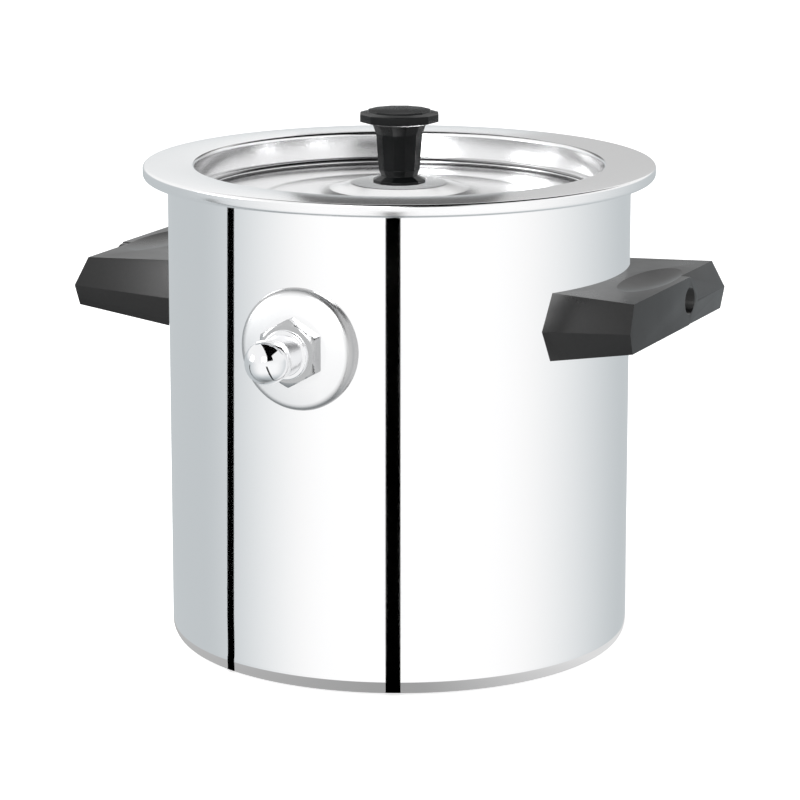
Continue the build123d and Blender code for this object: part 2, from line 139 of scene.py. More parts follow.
# ================================================================ form helpers
def arc(centre, radius, start, end, count=10):
    """Points on an arc, angles in degrees, both ends included."""
    angles = [radians(start + (end - start) * i / count) for i in range(count + 1)]
    return [(centre[0] + radius * cos(a), centre[1] + radius * sin(a)) for a in angles]


def rounded(corners, radii, count=10):
    """An open line through the corners, with every inner corner rounded to its radius."""
    points = [corners[0]]
    for i, radius in enumerate(radii, start=1):
        corner = Vector(corners[i])
        back = (Vector(corners[i - 1]) - corner).normalized()
        ahead = (Vector(corners[i + 1]) - corner).normalized()
        half = acos(max(-1.0, min(1.0, back.dot(ahead)))) / 2
        if radius <= 0:
            points.append(tuple(corner))
            continue
        centre = corner + (back + ahead).normalized() * radius / sin(half)
        first = corner + back * radius / tan(half) - centre
        last = corner + ahead * radius / tan(half) - centre
        start = atan2(first.y, first.x)
        turn = (atan2(last.y, last.x) - start + pi) % (2 * pi) - pi
        angles = [start + turn * k / count for k in range(count + 1)]
        points += [(centre.x + radius * cos(angle), centre.y + radius * sin(angle)) for angle in angles]
    return points + [corners[-1]]


def thickened(line, thickness):
    """A closed outline: the line, and back along it on its right at the sheet's thickness."""
    other = []
    for i, point in enumerate(line):
        here = Vector(point)
        last = min(i + 1, len(line) - 1)
        before = Vector(line[max(i, 1)]) - Vector(line[max(i, 1) - 1])
        after = Vector(line[last]) - Vector(line[last - 1])
        before, after = before.normalized(), after.normalized()
        mean = (before + after).normalized()
        other.append(tuple(here + Vector((mean.y, -mean.x)) * thickness / mean.dot(before)))
    return list(line) + other[::-1]


def about_z(radius, along, angle):
    """A point of a form turned about the vessels' axis."""
    return (radius * cos(angle) * MM, radius * sin(angle) * MM, along * MM)


def about_spout(radius, along, angle):
    """A point of a form turned about the spout; along is the distance from the vessels' axis."""
    return (radius * cos(angle) * MM, -along * MM, (spout_height + radius * sin(angle)) * MM)


def mesh_object(name, build, sharp=35.0):
    """A new object from a bmesh, smooth but for edges sharper than the angle in degrees."""
    bmesh.ops.remove_doubles(build, verts=build.verts, dist=1e-7)
    bmesh.ops.recalc_face_normals(build, faces=build.faces)
    for face in build.faces:
        face.smooth = True
    for edge in build.edges:
        edge.smooth = not (edge.is_manifold and edge.calc_face_angle(0.0) > radians(sharp))
    data = bpy.data.meshes.new(name)
    build.to_mesh(data)
    build.free()
    item = bpy.data.objects.new(name, data)
    bpy.context.scene.collection.objects.link(item)
    return item


def ring_of(build, place, radius, along, segments):
    """One ring of vertices about an axis."""
    return [build.verts.new(place(radius, along, 2 * pi * k / segments)) for k in range(segments)]


def skin(build, rings):
    """Faces from each ring of vertices to the next."""
    for lower, upper in zip(rings, rings[1:]):
        segments = len(lower)
        for k in range(segments):
            n = (k + 1) % segments
            corners = list(dict.fromkeys((lower[k], lower[n], upper[n], upper[k])))
            if len(corners) > 2:
                build.faces.new(corners)


def turned(name, outline, place, segments=turned_sides):
    """Solid of revolution from a closed outline of (radius, along) points."""
    build = bmesh.new()
    rings = []
    for radius, along in outline:
        if radius < 1e-6:
            rings.append([build.verts.new(place(0, along, 0))] * segments)
        else:
            rings.append(ring_of(build, place, radius, along, segments))
    skin(build, rings + rings[:1])
    return mesh_object(name, build)


def soften(build, width):
    """Round every edge of a moulding, but not the faint joints of its facets."""
    bmesh.ops.bevel(
        build, geom=[e for e in build.edges if e.calc_face_angle(0) > radians(8)], offset=width * MM,
        offset_type="OFFSET", segments=3, profile=0.6, affect="EDGES", clamp_overlap=True,
    )


def drilled(piece, radius, depth, middle, turn, segments):
    """Drill a round hole through the piece, about a middle in millimetres."""
    build = bmesh.new()
    bmesh.ops.create_cone(
        build, cap_ends=True, segments=segments, radius1=radius * MM, radius2=radius * MM, depth=depth * MM,
        matrix=Matrix.Translation([c * MM for c in middle]) @ Matrix.Rotation(turn, 4, "X"),
    )
    tool = mesh_object("drill", build)
    modifier = piece.modifiers.new("cut", "BOOLEAN")
    modifier.object = tool
    modifier.operation = "DIFFERENCE"
    modifier.solver = "EXACT"
    graph = bpy.context.evaluated_depsgraph_get()
    data = bpy.data.meshes.new_from_object(piece.evaluated_get(graph))
    piece.modifiers.clear()
    piece.data = data
    bpy.data.objects.remove(tool)
    return piece


UNMIRRORED = ("handle", "knob", "whistle", "lock_nut", "filler_spout", "spout_ring")


def unmirrored(node):
    """The fittings in front of the polished steel are kept out of its reflections."""
    return node.startswith(UNMIRRORED)


def stand_for(piece, node, body, material):
    """Dress a piece, ride it on its body and let it stand for its CAD node."""
    piece.data.materials.clear()
    piece.data.materials.append(material)
    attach(piece, body)
    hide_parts(node)
    piece.visible_glossy = not unmirrored(node)


# ================================================================ materials
def new_material(name):
    """An empty node material: its tree, its shader and its object coordinates."""
    material = bpy.data.materials.new(name)
    material.use_nodes = True
    tree = material.node_tree
    tree.nodes.clear()
    output = tree.nodes.new("ShaderNodeOutputMaterial")
    shader = tree.nodes.new("ShaderNodeBsdfPrincipled")
    tree.links.new(shader.outputs["BSDF"], output.inputs["Surface"])
    place = tree.nodes.new("ShaderNodeTexCoord").outputs["Object"]
    return material, tree, shader, place


def noise(tree, place, scale, detail):
    """Noise of a scale in features per metre."""
    texture = tree.nodes.new("ShaderNodeTexNoise")
    texture.inputs["Scale"].default_value = scale
    texture.inputs["Detail"].default_value = detail
    tree.links.new(place, texture.inputs["Vector"])
    return texture.outputs["Fac"]


def remap(tree, value, low, high, start=0.3, end=0.7):
    """A value between start and end, which noise mostly is, spread over low to high."""
    node = tree.nodes.new("ShaderNodeMapRange")
    node.inputs["From Min"].default_value = start
    node.inputs["From Max"].default_value = end
    node.inputs["To Min"].default_value = low
    node.inputs["To Max"].default_value = high
    tree.links.new(value, node.inputs["Value"])
    return node.outputs["Result"]


def blend_colour(tree, factor, first, second):
    """A colour between two, by a factor."""
    node = tree.nodes.new("ShaderNodeMix")
    node.data_type = "RGBA"
    tree.links.new(factor, node.inputs[0])
    node.inputs[6].default_value = (*first, 1)
    node.inputs[7].default_value = (*second, 1)
    return node.outputs[2]


def bump(tree, shader, height, distance):
    """Relief of a height from 0 to 1, this many millimetres deep."""
    node = tree.nodes.new("ShaderNodeBump")
    node.inputs["Distance"].default_value = distance * MM
    node.inputs["Strength"].default_value = 1.0
    tree.links.new(height, node.inputs["Height"])
    tree.links.new(node.outputs["Normal"], shader.inputs["Normal"])


def radius_of(tree, place, axis):
    """Distance from the vessels' axis, "Z", or from the spout's, "Y"."""
    parts = tree.nodes.new("ShaderNodeSeparateXYZ")
    tree.links.new(place, parts.inputs[0])
    join = tree.nodes.new("ShaderNodeCombineXYZ")
    tree.links.new(parts.outputs["X"], join.inputs["X"])
    if axis == "Z":
        tree.links.new(parts.outputs["Y"], join.inputs["Y"])
    else:
        lift = tree.nodes.new("ShaderNodeMath")
        lift.operation = "SUBTRACT"
        lift.inputs[1].default_value = spout_height * MM
        tree.links.new(parts.outputs["Z"], lift.inputs[0])
        tree.links.new(lift.outputs[0], join.inputs["Y"])
    length = tree.nodes.new("ShaderNodeVectorMath")
    length.operation = "LENGTH"
    tree.links.new(join.outputs[0], length.inputs[0])
    return length.outputs["Value"]


def ring_lines(tree, radius, pitch):
    """Fine lines that run round an axis, about a pitch in millimetres apart."""
    texture = tree.nodes.new("ShaderNodeTexNoise")
    texture.noise_dimensions = "1D"
    texture.inputs["Scale"].default_value = 1 / (pitch * MM)
    texture.inputs["Detail"].default_value = 2.0
    tree.links.new(radius, texture.inputs["W"])
    return texture.outputs["Fac"]


# Painted shade: rings of darker colour where shade falls, in the lid's curled edge and creases and at
# the escutcheon's edge: radius, half width, shade.
LID_PAINTED_SHADE_RINGS = ((67.8, 2.4, 0.42), (46.6, 2.2, 0.8), (24.2, 2.2, 0.94))
ESCUTCHEON_PAINTED_SHADE_RINGS = ((20.4, 2.4, 0.55),)
PAINTED_SHADE_CORE = 0.3  # share of the half width that has the full shade
SATIN_PITCH = 0.22  # of the lines turned in the satin steel
TOOL_PITCH, TOOL_DEPTH = 0.25, 0.0006  # of the tool lines in turned metal


def paint_shade(tree, place, tint, axis, rings):
    """A tint with shade painted in rings about an axis: radius, half width, shade of each."""
    for ring, half, shade in rings:
        away = tree.nodes.new("ShaderNodeMath")
        away.operation = "SUBTRACT"
        away.inputs[1].default_value = ring * MM
        tree.links.new(radius_of(tree, place, axis), away.inputs[0])
        size = tree.nodes.new("ShaderNodeMath")
        size.operation = "ABSOLUTE"
        tree.links.new(away.outputs[0], size.inputs[0])
        depth = remap(tree, size.outputs[0], shade, 1.0, PAINTED_SHADE_CORE * half * MM, half * MM)
        scale = tree.nodes.new("ShaderNodeVectorMath")
        scale.operation = "SCALE"
        tree.links.new(tint, scale.inputs[0])
        tree.links.new(depth, scale.inputs["Scale"])
        tint = scale.outputs["Vector"]
    return tint


def steel(name, colour, roughness, aniso=0.0, line_depth=0.0, smudge=0.02, painted_shade_rings=()):
    """Stainless steel: polished, or satin with lines turned round the vessels' axis."""
    material, tree, shader, place = new_material(name)
    shader.inputs["Metallic"].default_value = 1.0
    shader.inputs["Anisotropic"].default_value = aniso
    cloud = noise(tree, place, 24, 4)
    darker = tuple(c * 0.985 for c in colour)
    # Shade is painted into the tint in the given rings.
    tint = paint_shade(tree, place, blend_colour(tree, cloud, colour, darker), "Z", painted_shade_rings)
    tree.links.new(tint, shader.inputs["Base Color"])
    tree.links.new(remap(tree, cloud, roughness, roughness + smudge), shader.inputs["Roughness"])
    if aniso:
        tangent = tree.nodes.new("ShaderNodeTangent")
        tangent.direction_type = "RADIAL"
        tangent.axis = "Z"
        tree.links.new(tangent.outputs["Tangent"], shader.inputs["Tangent"])
    if line_depth:
        bump(tree, shader, ring_lines(tree, radius_of(tree, place, "Z"), SATIN_PITCH), line_depth)
    return material


def plated(name, colour, roughness, painted_shade_rings=()):
    """Bright plating or brass turned on a lathe, with faint tool lines and tarnish."""
    material, tree, shader, place = new_material(name)
    shader.inputs["Metallic"].default_value = 1.0
    cloud = noise(tree, place, 160, 4)
    darker = tuple(c * 0.96 for c in colour)
    # Shade is painted into the tint in the given rings.
    tint = paint_shade(tree, place, blend_colour(tree, cloud, colour, darker), "Y", painted_shade_rings)
    tree.links.new(tint, shader.inputs["Base Color"])
    tree.links.new(remap(tree, cloud, roughness, roughness + 0.04), shader.inputs["Roughness"])
    bump(tree, shader, ring_lines(tree, radius_of(tree, place, "Y"), TOOL_PITCH), TOOL_DEPTH)
    return material


def bakelite(name, index, dark, light, roughness):
    """Black phenolic moulding: near-black, softly glossy, with a faint orange-peel surface."""
    material, tree, shader, place = new_material(name)
    grain = noise(tree, place, 900, 4)
    cloud = noise(tree, place, 45, 3)
    tree.links.new(blend_colour(tree, grain, dark, light), shader.inputs["Base Color"])
    tree.links.new(remap(tree, cloud, roughness, roughness + 0.08), shader.inputs["Roughness"])
    shader.inputs["IOR"].default_value = index
    bump(tree, shader, grain, 0.006)
    return material


def rubber():
    """Dark sealing rubber, matt with a fine grain."""
    material, tree, shader, place = new_material("sealing_rubber")
    grain = noise(tree, place, 1500, 3)
    tree.links.new(blend_colour(tree, grain, (0.02, 0.019, 0.018), (0.04, 0.038, 0.036)),
                   shader.inputs["Base Color"])
    tree.links.new(remap(tree, grain, 0.55, 0.75), shader.inputs["Roughness"])
    bump(tree, shader, grain, 0.01)
    return material


polished_steel = steel("polished_steel", (0.95, 0.95, 0.955), 0.035, smudge=0.015)
vessel_steel = steel("vessel_steel", (0.94, 0.94, 0.945), 0.15, aniso=0.7, line_depth=0.0009)
# The lid's steel has shade painted in rings at its curled edge and creases.
lid_steel = steel("lid_steel", (0.94, 0.94, 0.945), 0.17, aniso=0.6, line_depth=0.0008,
                  painted_shade_rings=LID_PAINTED_SHADE_RINGS)
plain_steel = steel("plain_steel", (0.72, 0.72, 0.71), 0.28, smudge=0.1)
chrome = plated("chrome", (0.9, 0.905, 0.915), 0.05)
# The escutcheon's chrome has shade painted in a ring at its edge.
satin_chrome = plated("satin_chrome", (0.94, 0.942, 0.948), 0.3, ESCUTCHEON_PAINTED_SHADE_RINGS)
nut_chrome = plated("nut_chrome", (0.5, 0.505, 0.51), 0.14)
brass = plated("brass", (0.83, 0.66, 0.33), 0.16)
black_bakelite = bakelite("bakelite", 1.27, (0.0045, 0.0052, 0.0055), (0.0075, 0.0082, 0.0085), 0.2)
handle_bakelite = bakelite("handle_bakelite", 1.4, (0.006, 0.006, 0.0062), (0.011, 0.011, 0.0112), 0.26)
sealing_rubber = rubber()
MATERIAL_OF_SLOT = {
    "polished_steel": polished_steel,
    "vessel_steel": vessel_steel,
    "lid_steel": lid_steel,
    "plain_steel": plain_steel,
    "chrome": chrome,
    "brass": brass,
    "bakelite": black_bakelite,
    "sealing_rubber": sealing_rubber,
}


def dress_cad_nodes():
    """Give every CAD node the finish of its slot in the record."""
    slots = {part["node"]: part["material_slot"] for part in frame["record"]["subparts"]}
    for node, item in frame["nodes"].items():
        material = MATERIAL_OF_SLOT[slots[node]]
        item.visible_glossy = not unmirrored(node)
        for slot in item.material_slots:
            slot.material = material


# ================================================================ vessels
def make_outer_shell():
    """Outer shell: wall, base corner, cove and the flange turned down inside the hem."""
    flange = rim_height - sheet
    flange_out = rim_radius - sheet - seam_gap
    flange_in = flange_out - sheet
    flange_foot = rim_height - hem_height + sheet + seam_gap
    rows = [22, 44, 66, 88, 104, 112, 124, 132, 146]  # they keep the wall's facets short near the hole
    outline = rounded(
        [
            (0, 0), (shell_radius, 0), *[(shell_radius, z) for z in rows],
            (shell_radius, flange - sheet), (flange_in, flange - sheet), (flange_in, flange_foot),
            (flange_out, flange_foot), (flange_out, flange),
            (shell_radius - sheet, flange), (shell_radius - sheet, sheet), (0, sheet),
        ],
        [
            shell_corner, *[0 for _ in rows], neck_round, flange_round, 0, 0, flange_round + sheet,
            neck_round + sheet, shell_corner - sheet,
        ],
    )
    shell = turned("shell_skin", outline, about_z)
    return drilled(shell, spout_hole, 20, (0, -shell_radius, spout_height), pi / 2, 48)


def make_inner_vessel():
    """Milk pot: pot, lid ledge, recess, flat rim and the hem round its edge."""
    foot = rim_height - hem_height
    hem_end = rim_radius - hem_return
    outline = rounded(
        [
            (0, pot_floor), (pot_radius, pot_floor), (pot_radius, ledge_height), (well_radius, ledge_height),
            (well_radius, rim_height), (rim_radius, rim_height), (rim_radius, foot), (hem_end, foot),
            (hem_end, foot + sheet), (rim_radius - sheet, foot + sheet),
            (rim_radius - sheet, rim_height - sheet), (well_radius + sheet, rim_height - sheet),
            (well_radius + sheet, ledge_height - sheet), (pot_radius + sheet, ledge_height - sheet),
            (pot_radius + sheet, pot_floor - sheet), (0, pot_floor - sheet),
        ],
        [
            pot_corner, ledge_nose, ledge_corner, well_edge, hem_round, hem_foot_round, 0,
            0, hem_foot_round - sheet, hem_round - sheet, well_edge - sheet, ledge_corner + sheet, 0,
            pot_corner + sheet,
        ],
    )
    return turned("vessel_skin", outline, about_z)


def make_lid():
    """Lid: flat annulus, gentle cone, boss for the knob and a curled edge."""
    annulus = ledge_height + lid_sheet
    curl = lid_edge_radius - lid_bead
    panel = rounded(
        [
            (lid_hole, seat_height), (lid_boss_radius, seat_height),
            (lid_boss_foot, annulus + lid_boss_foot_rise), (lid_slope_radius, annulus),
            (curl - lid_bead, annulus),
        ],
        [lid_blend] * 3,
    )
    bead_centre = (curl, ledge_height + lid_bead)
    line = panel + arc(bead_centre, lid_bead - lid_sheet, -90, lid_bead_sweep - 90, 24)
    return turned("lid_skin", thickened(line, lid_sheet), about_z)


# ================================================================ knob
def make_knob():
    """Knob: twelve flats all the way up, with every moulded edge softened."""
    sections = [  # height above the seat, radius to the flats
        (0, 9.0), (1.0, 9.0), (2.5, 6.2), (4.6, 7.1), (17.0, 8.0), (20.4, 9.2), (21.4, 13.5), (24.0, 13.5),
        (knob_height - 0.5, 10.7), (knob_height, 10.7),
    ]

    def flat_corner(radius, along, angle):
        """A corner of the knob, from the radius to its flats."""
        return about_z(radius / cos(pi / knob_sides), seat_height + along, knob_turn + angle)

    build = bmesh.new()
    rings = [ring_of(build, flat_corner, radius, height, knob_sides) for height, radius in sections]
    skin(build, rings)
    build.faces.new(rings[0][::-1])
    build.faces.new(rings[-1])
    bmesh.ops.recalc_face_normals(build, faces=build.faces)
    soften(build, 0.3)
    return mesh_object("knob_moulding", build, 40)


# ================================================================ filler fittings
def make_escutcheon():
    """Escutcheon: a hollow domed disc whose edge sits on the round shell all the way about."""
    wall = escutcheon_wall
    # The dome is centred on the spout's axis and runs from the nut's land to the rounded edge.
    centre = escutcheon_crest - sqrt(escutcheon_dome**2 - escutcheon_land**2)
    corner_reach = escutcheon_dome - escutcheon_round
    corner_radius = escutcheon_radius - escutcheon_round
    corner_along = centre + sqrt(corner_reach**2 - corner_radius**2)
    start = degrees(acos(escutcheon_land / escutcheon_dome))
    lean = degrees(acos(corner_radius / corner_reach))
    outer = [(spout_hole, escutcheon_crest)] + arc((0, centre), escutcheon_dome, start, lean, 16)
    outer += arc((corner_radius, corner_along), escutcheon_round, lean, 0, 16)[1:]
    shrink = wall / (escutcheon_radius - spout_hole)
    inner = [(radius - shrink * (radius - spout_hole), along - wall) for radius, along in outer]
    inner[-1] = (outer[-1][0] - wall, outer[-1][1] - wall)

    def above_shell(radius, along, angle):
        """A point of the disc, or the shell's wall where the disc would sink into it."""
        return about_spout(radius, max(along, sqrt(shell_radius**2 - (radius * cos(angle)) ** 2)), angle)

    build = bmesh.new()
    edge = [(escutcheon_radius, 0), (escutcheon_radius - wall, 0)]  # both follow the shell's wall
    rings = [ring_of(build, above_shell, radius, along, 192) for radius, along in outer + edge + inner[::-1]]
    skin(build, rings + rings[:1])
    bmesh.ops.dissolve_degenerate(build, dist=1e-6, edges=build.edges)
    return mesh_object("escutcheon_dome", build, 30)


def make_lock_nut():
    """Lock nut: a hexagon whose front corners are turned off by a cone."""
    turned_face, cone, segments = nut_half_flats - 0.3, radians(30), 240
    corner = nut_half_flats / cos(pi / 6) - 0.15  # the six corners are slightly broken
    face_break, lip = 0.12, 0.35  # broken edges of the front face and of the bore
    cone_start, cone_depth, cone_steps = 0.5, 2.6, 20
    build = bmesh.new()

    def in_cone(limit, along, angle):
        """A point of the hexagon's side, or of the cone where that is nearer to the axis."""
        off = (angle + pi / 6) % (pi / 3) - pi / 6
        return about_spout(min(nut_half_flats / cos(off), corner, limit), along, angle)

    rings = [
        ring_of(build, about_spout, nut_bore, nut_front - lip, segments),
        ring_of(build, about_spout, nut_bore + lip, nut_front, segments),
    ]
    depths = [0, 0.15, cone_start]
    depths += [cone_start + cone_depth * (k + 1) / cone_steps for k in range(cone_steps)]
    for depth in depths + [nut_front - escutcheon_crest]:
        limit = turned_face + depth / tan(cone) - (face_break if depth == 0 else 0)
        rings.append(ring_of(build, in_cone, limit, nut_front - depth, segments))
    rings.append(ring_of(build, about_spout, nut_bore, escutcheon_crest, segments))
    skin(build, rings + rings[:1])
    return mesh_object("lock_nut_bright", build, 20)


def make_whistle_body():
    """Whistle body: collar, barrel and neck, with every turned edge broken."""
    collar_end, bore_end = whistle_back + whistle_collar, whistle_back + whistle_bore_depth
    broken, collar_round, cove = 0.3, 0.6, 0.3
    outline = rounded(
        [
            (whistle_bore, bore_end), (whistle_bore, whistle_back), (whistle_collar_radius, whistle_back),
            (whistle_collar_radius, collar_end), (whistle_barrel, collar_end), (whistle_barrel, cap_back),
            (whistle_neck, cap_back), (whistle_neck, whistle_neck_end), (whistle_throat, whistle_neck_end),
            (whistle_throat, bore_end), (whistle_bore, bore_end),
        ],
        [broken, collar_round, collar_round, cove, whistle_joint, 0, 0, 0, 0],
        8,
    )
    return turned("whistle_barrel", outline[:-1], about_spout, whistle_sides)


def make_whistle_cap():
    """Whistle cap: a hollow ball nose on a straight tail, its steam outlet on the underside."""
    bore, centre, tail = whistle_neck + 0.05, nose_tip - nose_radius, whistle_barrel
    shoulder = whistle_neck_end + whistle_plate + whistle_spacer + whistle_plate
    cavity = nose_radius - nose_wall
    back_reach = 180 - degrees(asin(tail / nose_radius))
    inner_reach = degrees(acos((shoulder - centre) / cavity))
    outline = [
        (bore, shoulder), (bore, cap_back), (tail - whistle_joint, cap_back),
        (tail, cap_back + whistle_joint),
    ]
    # The outline is (radius, along), so arcs are made as (along, radius) and swapped.
    arcs = arc((centre, 0), nose_radius, back_reach, 0, 40) + arc((centre, 0), cavity, 0, inner_reach, 12)
    outline += [(abs(radius), along) for along, radius in arcs]
    cap = turned("whistle_nose", outline, about_spout, whistle_sides)
    outlet = (0, -(shoulder + whistle_outlet_place), spout_height - nose_radius / 2)
    return drilled(cap, whistle_outlet, nose_radius, outlet, 0, 32)


# ================================================================ handles
def make_handle(side_name):
    """Handle: the moulding of the CAD node with its edges softened as moulded ones are."""
    source = frame["nodes"][f"handle_{side_name}"]
    build = bmesh.new()
    build.from_mesh(source.data)
    bmesh.ops.remove_doubles(build, verts=build.verts, dist=1e-6)
    bmesh.ops.dissolve_limit(build, angle_limit=radians(0.6), verts=build.verts, edges=build.edges)
    soften(build, 0.35)
    return mesh_object(f"handle_moulding_{side_name}", build, 30)


# ================================================================ studio
PICTURE = 800  # pixels along each side
TILT = 0.221569  # the camera looks down by this, in radians
TURN = radians(24.5)  # and stands this far round from -Y towards +X
DISTANCE = 1.2585  # horizontally from the vessels' axis, in metres
HEIGHT = 0.36774
LENS = 165.62
SENSOR = 36.0
FOCAL_PIXELS = LENS / SENSOR * PICTURE
CENTRE_PIXEL = 399.3  # column on which the vessels' axis stands
RIGHTWARD = Vector((cos(TURN), sin(TURN), 0))
CAMERAWARD = Vector((sin(TURN), -cos(TURN), 0))
EYE = CAMERAWARD * DISTANCE + Vector((0, 0, HEIGHT))

# Lightness of the room that polished metal mirrors. Bearings, in degrees, start at the camera.
FRONT_LEVEL, BACK_LEVEL = 1.07, 0.59
RIGHT_FADE = (38, 155)
LEFT_FADE = (28, 118)
OVERHEAD_FADE = (-2, 16)  # elevations over which the room turns white all round
FLOOR_FADE, FLOOR_LEVEL = (-90, -35), 0.36
PLAIN_LEVEL = 0.62  # of the light on matt surfaces
COOL_GREY, COOL_RANGE = (0.94, 1.0, 1.03), 0.42  # tint of the room's greys, full at that much below white
FLOOR_COLOUR, FLOOR_GLOW = (0.9, 0.9, 0.9, 1), 0.6  # the glow is seen by the camera alone
WHITE = (1, 1, 1)

# Two black strips stand in the shell between these columns of the picture, up to a height in millimetres.
FRONT_STRIP = (385.5, 400.5)
LEFT_STRIP = (227.2, 234.0)
STRIP_TOP = 157
SHADOW_RING_RADII = (60.0, 86.7)  # radii of the grey ring, a painted shadow on the floor round the foot, in millimetres
# How far the floor and what lies on it are below the foot, in millimetres, so that no two share a plane.
FLOOR_DEPTH, STRIP_DEPTH, RING_DEPTH = 0.2, 0.3, 0.4
SHADOW_RING_GREYS = ((0.0, 0.5), (0.45, 0.36), (0.55, 0.37), (0.9, 0.75))  # place from left to right, grey


def make_camera():
    """The photographer's long lens, a little above the rim."""
    data = bpy.data.cameras.new("camera")
    data.lens = LENS
    data.sensor_width = SENSOR
    data.clip_end = 20
    data.shift_x = (PICTURE / 2 - CENTRE_PIXEL) / PICTURE
    item = bpy.data.objects.new("camera", data)
    bpy.context.scene.collection.objects.link(item)
    item.location = EYE
    item.rotation_euler = (pi / 2 - TILT, 0, TURN)
    bpy.context.scene.camera = item


def make_world():
    """White to the camera; plain light; a bright room with a greyer back for reflections."""
    world = bpy.data.worlds.new("studio")
    bpy.context.scene.world = world
    world.use_nodes = True
    tree = world.node_tree
    tree.nodes.clear()
    nodes, links = tree.nodes, tree.links

    def math(operation, first, second=None, clamp=False):
        node = nodes.new("ShaderNodeMath")
        node.operation = operation
        node.use_clamp = clamp
        for socket, value in zip(node.inputs, (first, second)):
            if isinstance(value, (int, float)):
                socket.default_value = value
            elif value is not None:
                links.new(value, socket)
        return node.outputs[0]

    def ease(value, span, low, high):
        start, end = span
        node = nodes.new("ShaderNodeMapRange")
        node.interpolation_type = "SMOOTHSTEP"
        for name, number in (("From Min", start), ("From Max", end), ("To Min", low), ("To Max", high)):
            node.inputs[name].default_value = number
        links.new(value, node.inputs["Value"])
        return node.outputs["Result"]

    direction = nodes.new("ShaderNodeTexCoord").outputs["Generated"]

    def along(vector):
        node = nodes.new("ShaderNodeVectorMath")
        node.operation = "DOT_PRODUCT"
        node.inputs[1].default_value = vector
        links.new(direction, node.inputs[0])
        return node.outputs["Value"]

    bearing = math("MULTIPLY", math("ARCTAN2", along(RIGHTWARD), along(CAMERAWARD)), 180 / pi)
    elevation = math("MULTIPLY", math("ARCSINE", along((0, 0, 1))), 180 / pi)
    right = ease(bearing, RIGHT_FADE, FRONT_LEVEL, BACK_LEVEL)
    left = ease(math("MULTIPLY", bearing, -1), LEFT_FADE, FRONT_LEVEL, BACK_LEVEL)
    room = math("MINIMUM", right, left)
    lift = math("MULTIPLY", math("SUBTRACT", 1.0, room), ease(elevation, OVERHEAD_FADE, 0.0, 1.0))
    room = math("ADD", room, lift)
    room = math("MULTIPLY", room, ease(elevation, FLOOR_FADE, FLOOR_LEVEL, 1.0))

    paths = nodes.new("ShaderNodeLightPath")
    level = nodes.new("ShaderNodeMix")
    level.data_type = "FLOAT"
    links.new(paths.outputs["Is Glossy Ray"], level.inputs[0])
    level.inputs[2].default_value = PLAIN_LEVEL
    links.new(room, level.inputs[3])
    seen = nodes.new("ShaderNodeMix")
    seen.data_type = "FLOAT"
    links.new(paths.outputs["Is Camera Ray"], seen.inputs[0])
    links.new(level.outputs[0], seen.inputs[2])
    seen.inputs[3].default_value = 1.0
    greyness = math("DIVIDE", math("SUBTRACT", 1.0, room), COOL_RANGE, clamp=True)
    cool = blend_colour(tree, greyness, WHITE, COOL_GREY)
    colour = nodes.new("ShaderNodeMix")
    colour.data_type = "RGBA"
    colour.inputs[6].default_value = (*WHITE, 1)
    links.new(paths.outputs["Is Glossy Ray"], colour.inputs[0])
    links.new(cool, colour.inputs[7])
    background = nodes.new("ShaderNodeBackground")
    links.new(colour.outputs[2], background.inputs["Color"])
    links.new(seen.outputs[0], background.inputs["Strength"])
    output = nodes.new("ShaderNodeOutputWorld")
    links.new(background.outputs[0], output.inputs["Surface"])


def emissive(name):
    """A cleared material tree with a glow, and the output that it has to reach."""
    material = bpy.data.materials.new(name)
    material.use_nodes = True
    tree = material.node_tree
    tree.nodes.clear()
    return material, tree, tree.nodes.new("ShaderNodeEmission"), tree.nodes.new("ShaderNodeOutputMaterial")


def make_floor():
    """Pale floor: white to the camera but for the object's soft shadow, absent from reflections."""
    build = bmesh.new()
    bmesh.ops.create_grid(build, x_segments=1, y_segments=1, size=6)
    floor = mesh_object("floor", build)
    floor.location.z = -FLOOR_DEPTH * MM
    material, tree, glow, output = emissive("floor")
    diffuse = tree.nodes.new("ShaderNodeBsdfDiffuse")
    diffuse.inputs["Color"].default_value = FLOOR_COLOUR
    mix = tree.nodes.new("ShaderNodeAddShader")
    paths = tree.nodes.new("ShaderNodeLightPath")
    strength = tree.nodes.new("ShaderNodeMath")
    strength.operation = "MULTIPLY"
    strength.inputs[1].default_value = FLOOR_GLOW
    tree.links.new(paths.outputs["Is Camera Ray"], strength.inputs[0])
    tree.links.new(strength.outputs[0], glow.inputs["Strength"])
    tree.links.new(diffuse.outputs[0], mix.inputs[0])
    tree.links.new(glow.outputs[0], mix.inputs[1])
    tree.links.new(mix.outputs[0], output.inputs["Surface"])
    floor.data.materials.append(material)
    floor.visible_glossy = False


def sight(column, row):
    """The way that a pixel of the picture looks from the camera."""
    ahead = -CAMERAWARD * cos(TILT) - Vector((0, 0, sin(TILT)))
    up = RIGHTWARD.cross(ahead)
    return ahead + (RIGHTWARD * (column - CENTRE_PIXEL) + up * (PICTURE / 2 - row)) / FOCAL_PIXELS


def floor_seen(column, height, tilt):
    """The floor mirrored to a column of the picture by the shell, at a height, its face tipped down."""
    plane = sight(column, 0).cross(sight(column, PICTURE))
    radius = (shell_radius - shell_corner * (1 - cos(tilt))) * MM
    ratio = (plane.dot(EYE) - plane.z * height * MM) / (plane.xy.length * radius)
    towards = atan2(EYE.y, EYE.x)
    middle = atan2(plane.y, plane.x)
    angle = min((middle + acos(ratio), middle - acos(ratio)), key=lambda turn: -cos(turn - towards))
    hit = Vector((radius * cos(angle), radius * sin(angle), height * MM))
    normal = Vector((cos(angle) * cos(tilt), sin(angle) * cos(tilt), -sin(tilt)))
    mirrored = (hit - EYE) - normal * 2 * (hit - EYE).dot(normal)
    return hit + mirrored * (-hit.z / mirrored.z)


